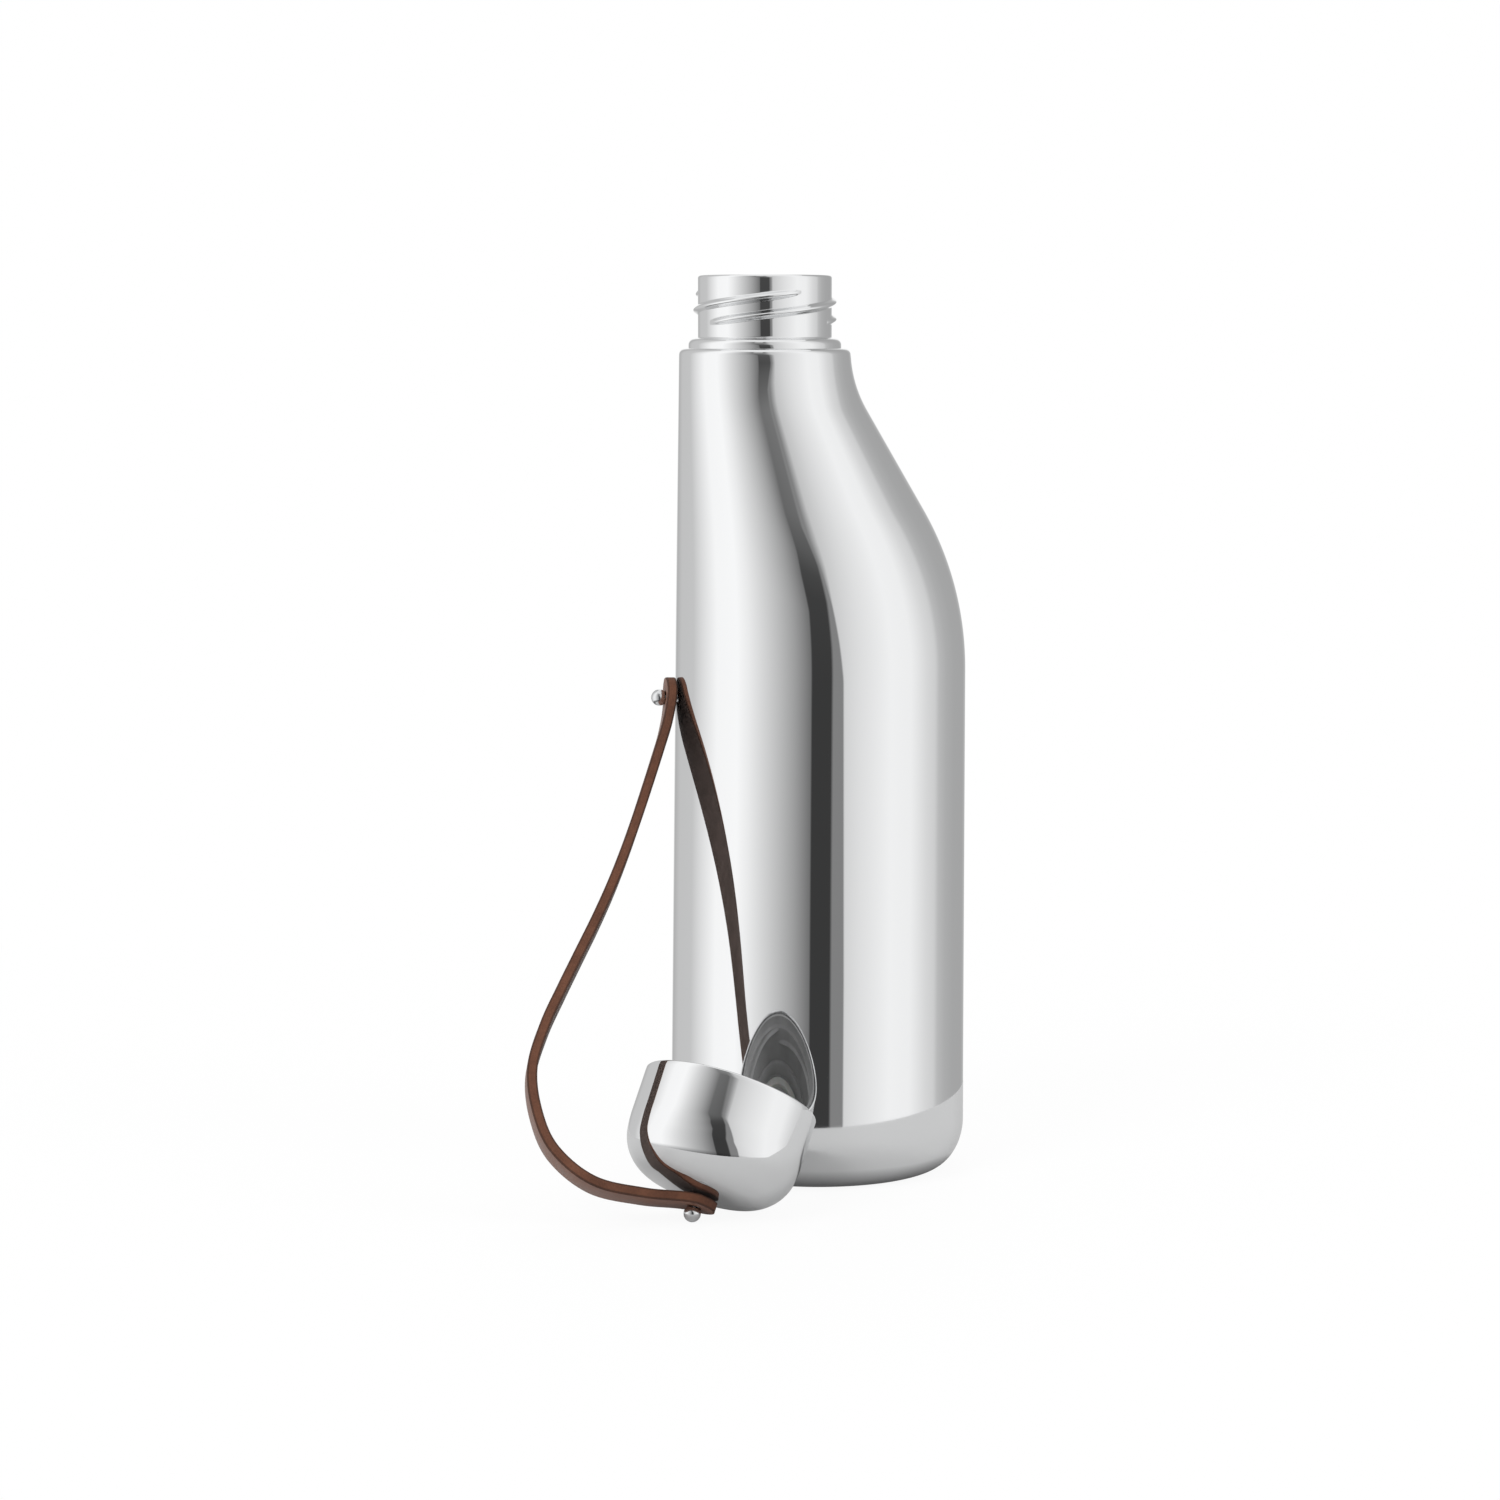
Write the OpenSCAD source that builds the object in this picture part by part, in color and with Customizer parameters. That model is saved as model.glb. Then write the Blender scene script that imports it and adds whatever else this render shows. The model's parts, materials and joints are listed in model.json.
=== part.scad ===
// Double-walled steel water bottle with a screw lid on a leather strap.
// The origin is the middle of the foot, on the surface that the bottle stands on.
// The neck stands to the left of the foot's axis: the left side is almost straight,
// and the right side runs down in an S-curve. Every level section is a circle.

/* [Body] */
// Height of the body up to its top edge
body_h = 206; // [190:1:230]
// Diameter of the body above its foot
base_d = 74; // [70:0.5:82]
// Width of the body's top face around the neck
top_face_w = 4.7; // [4.4:0.1:6]
// How far the neck's axis lies to the left of the foot's axis
neck_offset = 13.5; // [10:0.1:15]
// Radius of the hollow curve under the neck
shoulder_in_r = 30; // [22:1:38]
// Radius of the full curve below it
shoulder_out_r = 80; // [60:1:95]
// Slope of the straight run between the two curves, in degrees from upright
shoulder_slope = 30; // [27:0.5:34]
// Width of the rounded foot corner
corner_w = 8.9; // [6:0.1:11]
// Height of the rounded foot corner
corner_h = 12.3; // [9:0.1:15]
// Radius of the top edge
top_edge_r = 1.6; // [1.2:0.1:1.9]

/* [Walls] */
// Steel of the outer shell
shell_wall = 0.8; // [0.6:0.1:1]
// Vacuum gap between the two walls
vacuum_gap = 2.8; // [2.5:0.1:3.4]
// Steel of the inner liner
liner_wall = 0.8; // [0.6:0.1:1]
// Steel of the base disc
base_wall = 0.8; // [0.6:0.1:1.2]
// Depth of the hollow under the base
base_recess = 1.5; // [1.2:0.1:2]
// Space between the base disc and the liner's floor
floor_gap = 3; // [2.5:0.1:4]
// Diameter of the plug that seals the vacuum port
port_plug_d = 9; // [6:0.5:12]
// Thickness of that plug
port_plug_t = 0.6; // [0.4:0.1:0.9]
// Diameter of the getter pill inside the vacuum gap
getter_d = 8; // [5:0.5:10]
// Thickness of the getter pill
getter_t = 1.2; // [0.8:0.1:1.8]
// Distance of the getter pill from the foot's axis
getter_place = 12; // [9:0.5:14]

/* [Neck] */
// Height of the neck above the body's top edge
neck_h = 18; // [16:0.5:20]
// Outer diameter of the neck between its threads
neck_d = 33.3; // [30:0.1:36]
// Steel of the neck
neck_wall = 1.15; // [1:0.05:1.4]
// How far the collar at the neck's root stands out
collar_w = 2.35; // [2:0.05:2.7]
// Height of the collar
collar_h = 2.5; // [2:0.1:3]
// Radius of the collar's top edge
collar_edge_r = 1.7; // [1:0.1:1.9]
// Radius of the lip's outer edge
lip_r = 0.7; // [0.4:0.1:0.9]
// How far the neck reaches down into the liner
neck_tail = 8; // [6:0.5:10]

/* [Thread] */
// Number of thread starts
thread_starts = 3; // [2:1:4]
// Climb of a thread in one full turn
thread_lead = 13; // [10:0.5:14]
// How far a thread stands out of the neck
thread_depth = 1.15; // [0.8:0.05:1.25]
// Width of a thread at its root
thread_w = 2.2; // [1.6:0.1:2.4]
// Turn of each thread from its start to its end, in degrees
thread_turn = 206; // [150:2:230]
// Height of a thread's start above the body's top edge
thread_start_h = 6.3; // [5:0.1:7]
// Where the first thread starts, in degrees round from the right
thread_start_turn = -34; // [-60:1:60]

/* [Lid] */
// Height of the lid's straight wall above its rim
lid_side_h = 11.1; // [10:0.1:12.5]
// Radius of the easy curve above that wall
lid_ease_r = 30; // [24:1:40]
// Turn of the easy curve, in degrees
lid_ease_turn = 9; // [6:1:12]
// Radius of the shoulder of the dome
lid_shoulder_r = 11; // [10.5:0.1:12.5]
// Radius of the crown of the dome
lid_crown_r = 60; // [44:1:80]
// Steel of the dome
lid_wall = 0.8; // [0.6:0.1:1]
// How far the insert sits back from the rim
insert_setback = 0.5; // [0.3:0.1:0.8]
// Thickness of the insert's ceiling
insert_roof = 1.2; // [1:0.1:1.4]
// Thickness of the seal
gasket_t = 1.2; // [1:0.1:1.4]
// Width of the seal
gasket_w = 2.8; // [2:0.1:3.6]
// How far the insert's threads stand in from its wall
insert_thread_depth = 1; // [0.7:0.05:1.1]
// Turn of each thread in the insert, in degrees
insert_thread_turn = 120; // [90:5:150]

/* [Studs] */
// Height of the body's stud above the surface that the bottle stands on
stud_h = 119.4; // [100:1:122]
// Diameter of a stud's ball
ball_d = 4.1; // [3.8:0.1:4.6]
// Diameter of a stud's stem
stem_d = 2.5; // [2.2:0.1:2.6]
// How far a ball's middle stands above the strap's outer face
ball_rise = 1.6; // [1.5:0.1:2]
// Diameter of the weld boss inside the body
boss_d = 8.4; // [6:0.2:9]
// Thickness of the weld boss
boss_t = 1.6; // [1.2:0.1:1.8]
// Width across the flats of the nut inside the lid
nut_w = 5; // [4.5:0.1:6]
// Thickness of that nut
nut_t = 1.9; // [1.5:0.1:2]
// Diameter of the washer under the nut
washer_d = 7; // [6:0.5:9]
// Thickness of that washer
washer_t = 0.5; // [0.3:0.1:0.6]

/* [Strap] */
// Width of the leather strap
strap_w = 10; // [8:0.5:12]
// Thickness of the leather
strap_t = 2.5; // [2:0.1:2.8]
// Diameter of the holes that button over the studs
strap_hole_d = 3.5; // [3.4:0.1:3.6]
// Bevel along the edges of the leather
strap_bevel = 0.5; // [0.2:0.1:0.7]
// How far in front of the body's stud the strap's other end lies
strap_end_front = 60.6; // [60:0.1:64]
// Height of that end above the surface that the bottle stands on
strap_end_h = 4.54; // [4.5:0.02:4.8]
// How far out from the foot's left side that end lies
strap_end_out = 4; // [3.6:0.1:4.4]
// How far the resting lid leans from the line of the strap, in degrees
lid_lean = 21.7; // [21.4:0.1:22]
// How far the strap twists on its way to the lid, in degrees
strap_twist = 5; // [4:0.1:6]

/* [Clearances] */
// Space between parts that slide or screw
run_fit = 0.3; // [0.25:0.05:0.4]
// Space between parts that are pressed or welded together
seat_fit = 0.05; // [0.03:0.01:0.1]

/* [Hidden] */

// Sides of the round skins, of the curves drawn in profile and of turned parts
shell_sides = 64;
liner_sides = 48;
curve_steps = 8;
turned_sides = 96;

steel = [0.80, 0.81, 0.82];
dark_plastic = [0.13, 0.13, 0.14];
silicone = [0.80, 0.80, 0.78];
leather = [0.36, 0.17, 0.10];

// Diameters that follow the neck: the lid is as wide as the body's top edge
top_d = neck_d + 2 * top_face_w;
mouth_d = neck_d - 2 * neck_wall;
collar_d = neck_d + 2 * collar_w;
lid_d = top_d;

// Outline of the body's left and right sides
foot_left = -base_d / 2;
neck_left = -neck_offset - top_d / 2;
neck_right = -neck_offset + top_d / 2;
side_right = base_d / 2;
in_rise = shoulder_in_r * sin(shoulder_slope);
in_run = shoulder_in_r * (1 - cos(shoulder_slope));
out_rise = shoulder_out_r * sin(shoulder_slope);
out_run = shoulder_out_r * (1 - cos(shoulder_slope));
slope_run = side_right - neck_right - in_run - out_run;
slope_top = body_h - in_rise;
slope_foot = slope_top - slope_run / tan(shoulder_slope);
side_top = slope_foot - out_rise;

function left_x(z) =
    z <= corner_h ? foot_left
    : foot_left + (neck_left - foot_left) * (z - corner_h) / (body_h - corner_h);

function right_x(z) =
    z >= slope_top ? neck_right + shoulder_in_r - sqrt(pow(shoulder_in_r, 2) - pow(body_h - z, 2))
    : z >= slope_foot ? neck_right + in_run + (slope_top - z) * tan(shoulder_slope)
    : z >= side_top ? side_right - shoulder_out_r + sqrt(pow(shoulder_out_r, 2) - pow(z - side_top, 2))
    : side_right;

function middle_x(z) = (left_x(z) + right_x(z)) / 2;
function half_w(z) = (right_x(z) - left_x(z)) / 2;

// A ring is [x of its middle, height, radius]
function side_ring(z, inset) = [middle_x(z), z, half_w(z) - inset];

// Rings of a rounded foot corner that rises from height low to height high
function foot_rings(low, high, inset, w, steps) = [
    for (i = [0 : steps - 1])
        let (a = 90 * i / steps, z = high - (high - low) * cos(a))
        [middle_x(z), z, half_w(z) - inset - w * (1 - sin(a))]
];

// Heights up the side: two levels on the straight part, then even steps up the curves
curves_min_h = 20;
function side_heights(low, high, steps) =
    let (first = min(side_top, high - curves_min_h))
    concat([low], [for (i = [0 : steps]) first + (high - first) * i / steps]);

function side_rings(low, high, inset, steps) =
    [for (z = side_heights(low, high, steps)) side_ring(z, inset)];

function reversed(list) = [for (i = [len(list) - 1 : -1 : 0]) list[i]];

// Points and triangles of a skin through level rings
function ring_points(rings, sides) = [
    for (r = rings)
        for (j = [0 : sides - 1])
            [r[0] + r[2] * cos(360 * j / sides), r[2] * sin(360 * j / sides), r[1]]
];

function band_faces(a, b, sides) = [
    for (j = [0 : sides - 1])
        let (k = (j + 1) % sides)
        each [[a * sides + j, b * sides + j, b * sides + k],
              [a * sides + j, b * sides + k, a * sides + k]]
];

function all_bands(count, sides) = [for (i = [0 : count - 2]) each band_faces(i, i + 1, sides)];

// A skin whose last ring joins its first: a wall with a hole through it
module closed_wall(rings, sides) {
    polyhedron(points = ring_points(rings, sides),
               faces = concat(all_bands(len(rings), sides), band_faces(len(rings) - 1, 0, sides)),
               convexity = 6);
}

// A skin that starts and ends in a flat floor: the wall of a cup
module cup_wall(rings, sides) {
    last = (len(rings) - 1) * sides;
    polyhedron(points = ring_points(rings, sides),
               faces = concat([[for (j = [0 : sides - 1]) j]],
                              all_bands(len(rings), sides),
                              [[for (j = [sides - 1 : -1 : 0]) last + j]]),
               convexity = 6);
}

// Points of an arc in a profile
function arc(x, y, r, from, to, steps) =
    [for (i = [0 : steps]) let (a = from + (to - from) * i / steps) [x + r * cos(a), y + r * sin(a)]];

// Outer shell
foot_lip_w = 1.4;
foot_open_r = base_d / 2 - corner_w - foot_lip_w;
neck_hole_r = neck_d / 2 + run_fit;
inner_edge_r = top_edge_r - shell_wall;
stem_cut = 8 * shell_wall;

function top_edge_rings(inset, r, steps) = [
    for (i = [0 : steps])
        let (a = 90 * i / steps)
        [-neck_offset, body_h - inset - r + r * sin(a), top_d / 2 - inset - r + r * cos(a)]
];

shell_outside = concat(
    [[0, 0, foot_open_r]],
    foot_rings(0, corner_h, 0, corner_w, 7),
    side_rings(corner_h, body_h - top_edge_r - 1, 0, 16),
    top_edge_rings(0, top_edge_r, 4),
    [[-neck_offset, body_h, neck_hole_r]]
);
shell_inside = concat(
    [[0, shell_wall, foot_open_r]],
    foot_rings(shell_wall, corner_h, shell_wall, corner_w - shell_wall, 5),
    side_rings(corner_h, body_h - top_edge_r - 1, shell_wall, 12),
    top_edge_rings(shell_wall, inner_edge_r, 2),
    [[-neck_offset, body_h - shell_wall, neck_hole_r]]
);

module outer_shell() {
    color(steel)
        difference() {
            closed_wall(concat(shell_outside, reversed(shell_inside)), shell_sides);
            at_body_stud() cylinder(h = stem_cut, d = stem_d + 2 * seat_fit, center = true, $fn = 32);
        }
}

// Base: a pressed disc with a standing ring, the plug of the vacuum port and the getter pill
disc_r = foot_open_r - seat_fit;
foot_ring_w = 3;
recess_r = disc_r - foot_ring_w - base_recess;

module base_disc() {
    color(steel)
        rotate_extrude($fn = turned_sides)
            polygon([[0, base_recess], [recess_r, base_recess], [recess_r + base_recess, 0],
                     [disc_r, 0], [disc_r, base_wall], [recess_r + base_recess + 0.4, base_wall],
                     [recess_r + 0.4, base_recess + base_wall], [0, base_recess + base_wall]]);
}

module vacuum_plug() {
    color(steel)
        translate([0, 0, base_recess - port_plug_t])
            rotate_extrude($fn = turned_sides)
                polygon([[0, 0], [port_plug_d / 2 - 0.3, 0], [port_plug_d / 2, 0.3],
                         [port_plug_d / 2, port_plug_t], [0, port_plug_t]]);
}

module getter() {
    color([0.45, 0.45, 0.47])
        translate([getter_place, 0, base_recess + base_wall])
            cylinder(h = getter_t, d = getter_d, $fn = 48);
}

// Inner liner
liner_inset = shell_wall + vacuum_gap;
liner_bore_inset = liner_inset + liner_wall;
liner_low = base_recess + base_wall + floor_gap;
liner_floor = liner_low + liner_wall;
liner_curve_top = corner_h + vacuum_gap;
liner_top = body_h - shell_wall - 1;

liner_outside = concat(
    foot_rings(liner_low, liner_curve_top, liner_inset, corner_w, 5),
    side_rings(liner_curve_top, liner_top, liner_inset, 12)
);
liner_inside = concat(
    foot_rings(liner_floor, liner_curve_top, liner_bore_inset, corner_w - liner_wall, 5),
    side_rings(liner_curve_top, liner_top, liner_bore_inset, 14)
);

module inner_liner() {
    color(steel)
        cup_wall(concat(liner_outside, reversed(liner_inside)), liner_sides);
}

// Thread ridges: one rounded rib on a helix, faded out at both ends
// side is 1 for ribs on the outside of a wall and -1 for ribs on the inside
function rib_profile(depth, w) =
    [[-0.25, -w / 2], [0.45 * depth, -0.40 * w], [0.87 * depth, -0.2 * w], [depth, 0],
     [0.87 * depth, 0.2 * w], [0.45 * depth, 0.40 * w], [-0.25, w / 2]];

function fade(t) = min(1, 0.12 + 5.5 * min(t, 1 - t));

module thread_rib(r, depth, w, lead, turn, side, steps) {
    outline = rib_profile(depth, w);
    n = len(outline);
    points = [
        for (i = [0 : steps])
            let (t = i / steps, a = turn * t, f = fade(t))
            for (p = outline)
                let (reach = p[0] > 0 ? p[0] * f : p[0], at = r + side * reach)
                [at * cos(a), at * sin(a), lead * a / 360 + p[1] * (0.5 + 0.5 * f)]
    ];
    start_cap = [for (j = [0 : n - 1]) j];
    end_cap = [for (j = [n - 1 : -1 : 0]) steps * n + j];
    bands = [
        for (i = [0 : steps - 1])
            for (j = [0 : n - 1])
                let (k = (j + 1) % n)
                each [[i * n + j, (i + 1) * n + j, (i + 1) * n + k],
                      [i * n + j, (i + 1) * n + k, i * n + k]]
    ];
    faces = concat([start_cap], bands, [end_cap]);
    polyhedron(points = points,
               faces = side > 0 ? [for (f = faces) reversed(f)] : faces,
               convexity = 8);
}

module thread_ribs(r, depth, w, turn, side, steps) {
    for (i = [0 : thread_starts - 1])
        rotate([0, 0, 360 * i / thread_starts])
            thread_rib(r, depth, w, thread_lead, turn, side, steps);
}

// Neck with its collar and threads
neck_top = body_h + neck_h;
neck_low = body_h - neck_tail;
tail_fit_r = top_d / 2 - liner_bore_inset - seat_fit;
tail_r = min(neck_d / 2, tail_fit_r);
tail_ring_low = liner_top - 3;

neck_profile = concat(
    [[mouth_d / 2, neck_low], [tail_r, neck_low], [tail_r, tail_ring_low],
     [tail_fit_r, tail_ring_low + 0.3], [tail_fit_r, liner_top + seat_fit],
     [neck_d / 2, liner_top + seat_fit], [neck_d / 2, body_h], [collar_d / 2, body_h]],
    arc(collar_d / 2 - collar_edge_r, body_h + collar_h - collar_edge_r, collar_edge_r, 0, 90, 6),
    [[neck_d / 2, body_h + collar_h]],
    arc(neck_d / 2 - lip_r, neck_top - lip_r, lip_r, 0, 90, 5),
    [[mouth_d / 2 + 0.2, neck_top], [mouth_d / 2, neck_top - 0.2]]
);

module neck() {
    color(steel)
        translate([-neck_offset, 0, 0]) {
            rotate_extrude($fn = turned_sides)
                polygon(neck_profile);
            translate([0, 0, body_h + thread_start_h])
                rotate([0, 0, thread_start_turn])
                    thread_ribs(neck_d / 2, thread_depth, thread_w, thread_turn, 1, 26);
        }
}

// Studs: a ball on a stem, drawn along +Z from the face that it stands on
stud_reach = run_fit + strap_t + ball_rise;

module ball_stud(depth) {
    translate([0, 0, -depth])
        cylinder(h = depth + stud_reach, d = stem_d, $fn = 48);
    translate([0, 0, stud_reach])
        sphere(d = ball_d, $fn = 48);
}

// Puts a child on the body's left wall with its +Z outwards
module at_body_stud() {
    translate([left_x(stud_h), 0, stud_h]) rotate([0, -90, 0]) children();
}

wall_sag = pow(boss_d / 2, 2) / base_d;
boss_face = shell_wall + wall_sag + seat_fit;

module body_stud() {
    color(steel) at_body_stud() ball_stud(boss_face + boss_t - 0.3);
}

module stud_boss() {
    color(steel)
        at_body_stud()
            translate([0, 0, -boss_face - boss_t])
                difference() {
                    cylinder(h = boss_t, d = boss_d, $fn = 48);
                    translate([0, 0, -1]) cylinder(h = boss_t + 2, d = stem_d + 2 * seat_fit, $fn = 32);
                }
}

// Lid, drawn as it sits on a bottle: rim at height 0, dome upwards
// The dome is a straight wall, an easy curve, a shoulder arc and a shallow crown arc
ease_x = lid_d / 2 - lid_ease_r;
knuckle_x = ease_x + (lid_ease_r - lid_shoulder_r) * cos(lid_ease_turn);
knuckle_y = lid_side_h + (lid_ease_r - lid_shoulder_r) * sin(lid_ease_turn);
crown_angle = asin(knuckle_x / (lid_crown_r - lid_shoulder_r));
crown_y = knuckle_y - (lid_crown_r - lid_shoulder_r) * cos(crown_angle);
lid_h = crown_y + lid_crown_r;
ease_steps = 3;

function dome_outline(inset) = concat(
    [[lid_d / 2 - inset, 0]],
    arc(ease_x, lid_side_h, lid_ease_r - inset, 0, lid_ease_turn, ease_steps),
    arc(knuckle_x, knuckle_y, lid_shoulder_r - inset, lid_ease_turn, 90 - crown_angle, 2 * curve_steps),
    arc(0, crown_y, lid_crown_r - inset, 90 - crown_angle, 90, curve_steps)
);

insert_ceiling = neck_h + gasket_t + 0.1;
insert_top = insert_ceiling + insert_roof;
insert_bore_r = neck_d / 2 + thread_depth + run_fit;
insert_mouth_r = collar_d / 2 + run_fit;
insert_mouth_h = collar_h + 1;
insert_neck_r = neck_d / 2 + run_fit;
insert_step_h = neck_h - 4;
gasket_r = neck_d / 2 - 0.35;
gasket_hole_r = gasket_r - gasket_w;
gasket_low = insert_ceiling - gasket_t;

module lid_shell() {
    color(steel)
        difference() {
            rotate_extrude($fn = turned_sides)
                polygon(concat(dome_outline(0), reversed(dome_outline(lid_wall))));
            translate([0, 0, lid_h]) cylinder(h = 4, d = stem_d + 2 * seat_fit, center = true, $fn = 32);
        }
}

module insert_profile() {
    difference() {
        intersection() {
            polygon(concat([[0, 0]], dome_outline(lid_wall + run_fit)));
            translate([0, insert_setback]) square([lid_d, insert_top - insert_setback]);
        }
        translate([0, -1]) square([insert_mouth_r, insert_mouth_h + 1]);
        translate([0, -1]) square([insert_bore_r, insert_step_h + 1]);
        translate([0, -1]) square([insert_neck_r, gasket_low + 1]);
        translate([0, -1]) square([gasket_r + seat_fit, insert_ceiling + 1]);
    }
}

module lid_insert() {
    color(dark_plastic) {
        rotate_extrude($fn = turned_sides) insert_profile();
        translate([0, 0, thread_start_h - thread_lead / thread_starts / 2])
            rotate([0, 0, thread_start_turn + 40])
                thread_ribs(insert_bore_r, insert_thread_depth, thread_w - 0.4, insert_thread_turn, -1, 14);
    }
}

module lid_gasket() {
    color(silicone)
        translate([0, 0, gasket_low])
            rotate_extrude($fn = turned_sides)
                polygon([[gasket_hole_r, 0.2], [gasket_hole_r + 0.2, 0], [gasket_r - 0.2, 0],
                         [gasket_r, 0.2], [gasket_r, gasket_t], [gasket_hole_r, gasket_t]]);
}

crown_sag = pow(washer_d / 2, 2) / (2 * lid_crown_r);
washer_top = lid_h - lid_wall - crown_sag - seat_fit;
nut_top = washer_top - washer_t;

module lid_washer() {
    color(steel)
        translate([0, 0, nut_top])
            difference() {
                cylinder(h = washer_t, d = washer_d, $fn = 48);
                translate([0, 0, -1]) cylinder(h = washer_t + 2, d = stem_d + 2 * seat_fit, $fn = 32);
            }
}

module lid_nut() {
    color(steel)
        translate([0, 0, nut_top - nut_t])
            difference() {
                cylinder(h = nut_t, d = nut_w / cos(30), $fn = 6);
                translate([0, 0, -1]) cylinder(h = nut_t + 2, d = stem_d + 2 * seat_fit, $fn = 32);
            }
}

module lid_stud() {
    color(steel)
        translate([0, 0, lid_h])
            ball_stud(lid_h - nut_top + nut_t);
}

// Strap: it stays in one plane, which leans out towards the front by strap_sway.
// A place on that plane is [x, distance down the plane from the body's stud].
strap_sway = atan2(strap_end_front, stud_h - strap_end_h);
strap_drop = norm([strap_end_front, stud_h - strap_end_h]);
strap_lift = run_fit + strap_t / 2;
lid_seat = [foot_left - strap_end_out, strap_drop];
lid_way = [cos(lid_lean), sin(lid_lean)];
body_seat = [left_x(stud_h) - strap_lift - 2 * seat_fit, 0];
body_way = [-0.02, 1];

// Bends of the strap between its two ends: how far out from the foot's left side,
// and which share of the way down to the strap's other end
strap_bends = [[2.2, 0.060], [4.9, 0.119], [8.2, 0.187], [11.6, 0.255], [15.2, 0.323], [19.1, 0.390],
               [23.4, 0.456], [28.2, 0.524], [32.9, 0.591], [37.6, 0.662], [41.2, 0.742], [40.8, 0.822],
               [37.3, 0.897], [28.6, 0.959], [16.7, 0.985]];
route = concat([body_seat], [for (b = strap_bends) [foot_left - b[0], b[1] * strap_drop]], [lid_seat]);

// Point t of the way from knot i to knot i + 1 on a smooth curve through the route.
// One knot beyond each end sets the direction in which the strap leaves its stud.
body_pull = 8;
lid_pull = 14;
function knot(i) =
    i < 0 ? body_seat - body_pull * body_way
    : i >= len(route) ? lid_seat + lid_pull * lid_way
    : route[i];
function on_curve(i, t) =
    let (a = knot(i - 1), b = knot(i), c = knot(i + 1), d = knot(i + 2))
    0.5 * ((2 * b) + (c - a) * t + (2 * a - 5 * b + 4 * c - d) * t * t
           + (3 * b - a - 3 * c + d) * t * t * t);

// A station is [place, half the strap's width there]
tip_r = strap_w / 2;
tip_angles = [80, 62, 42, 20];
route_steps = 3;
stations = concat(
    [for (a = tip_angles) [body_seat - tip_r * sin(a) * body_way, tip_r * cos(a)]],
    [for (i = [0 : len(route) - 2])
        for (j = [0 : route_steps - 1])
            [on_curve(i, j / route_steps), tip_r]],
    [[lid_seat, tip_r]],
    [for (i = [len(tip_angles) - 1 : -1 : 0])
        [lid_seat + tip_r * sin(tip_angles[i]) * lid_way, tip_r * cos(tip_angles[i])]]
);

function unit(v) = v / norm(v);
function station_way(i) =
    unit(stations[min(i + 1, len(stations) - 1)][0] - stations[max(i - 1, 0)][0]);

// Section of the leather: half the thickness and half the width, with bevelled edges
function strap_section(half_w) =
    let (h = strap_t / 2, b = min(strap_bevel, half_w / 2))
    [[h, -half_w + b], [h, half_w - b], [h - b, half_w], [b - h, half_w],
     [-h, half_w - b], [-h, b - half_w], [b - h, -half_w], [h - b, -half_w]];

// The twist grows towards the lid
function twist_at(place) = strap_twist * pow(max(0, min(1, place[1] / strap_drop)), 2);

function strap_points() = [
    for (i = [0 : len(stations) - 1])
        let (place = stations[i][0], way = station_way(i), turn = twist_at(place))
        for (p = strap_section(stations[i][1]))
            let (through = p[0] * cos(turn) - p[1] * sin(turn),
                 across = p[0] * sin(turn) + p[1] * cos(turn))
            [place[0] + through * way[1], across, place[1] - through * way[0]]
];

// Length of the strap from tip to tip, measured along its middle
function path_length(i) =
    i == 0 ? 0 : norm(stations[i][0] - stations[i - 1][0]) + path_length(i - 1);
strap_length = path_length(len(stations) - 1);

// Puts [x, y, distance down] on the leaning plane of the strap
module on_strap_plane() {
    translate([0, 0, stud_h]) rotate([180 - strap_sway, 0, 0]) children();
}

module strap() {
    n = 8;
    count = len(stations);
    bands = [
        for (i = [0 : count - 2])
            for (j = [0 : n - 1])
                let (k = (j + 1) % n)
                each [[i * n + j, (i + 1) * n + k, i * n + k],
                      [i * n + j, (i + 1) * n + j, (i + 1) * n + k]]
    ];
    color(leather)
        on_strap_plane()
            difference() {
                polyhedron(points = strap_points(),
                           faces = concat([[for (j = [0 : n - 1]) j]], bands,
                                          [[for (j = [n - 1 : -1 : 0]) (count - 1) * n + j]]),
                           convexity = 10);
                translate([body_seat[0], 0, 0])
                    rotate([0, 90, 0])
                        cylinder(h = 3 * strap_t, d = strap_hole_d, center = true, $fn = 32);
                translate([lid_seat[0], 0, lid_seat[1]])
                    rotate([strap_twist, -lid_lean, 0])
                        cylinder(h = 3 * strap_t, d = strap_hole_d, center = true, $fn = 32);
            }
}

// Puts the lid down on its side: its stud through the strap's end, square to the leather there
module at_lid_rest() {
    on_strap_plane()
        translate([lid_seat[0], 0, lid_seat[1]])
            rotate([strap_twist, -lid_lean, 0])
                translate([0, 0, -lid_h - strap_lift])
                    children();
}

echo(strap_length = strap_length, strap_sway = strap_sway, strap_drop = strap_drop, lid_h = lid_h);

outer_shell();
base_disc();
vacuum_plug();
getter();
inner_liner();
neck();
stud_boss();
body_stud();
strap();
at_lid_rest() lid_shell();
at_lid_rest() lid_insert();
at_lid_rest() lid_gasket();
at_lid_rest() lid_stud();
at_lid_rest() lid_washer();
at_lid_rest() lid_nut();
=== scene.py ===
import bpy
import json
import math
from mathutils import Matrix, Vector


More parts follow.
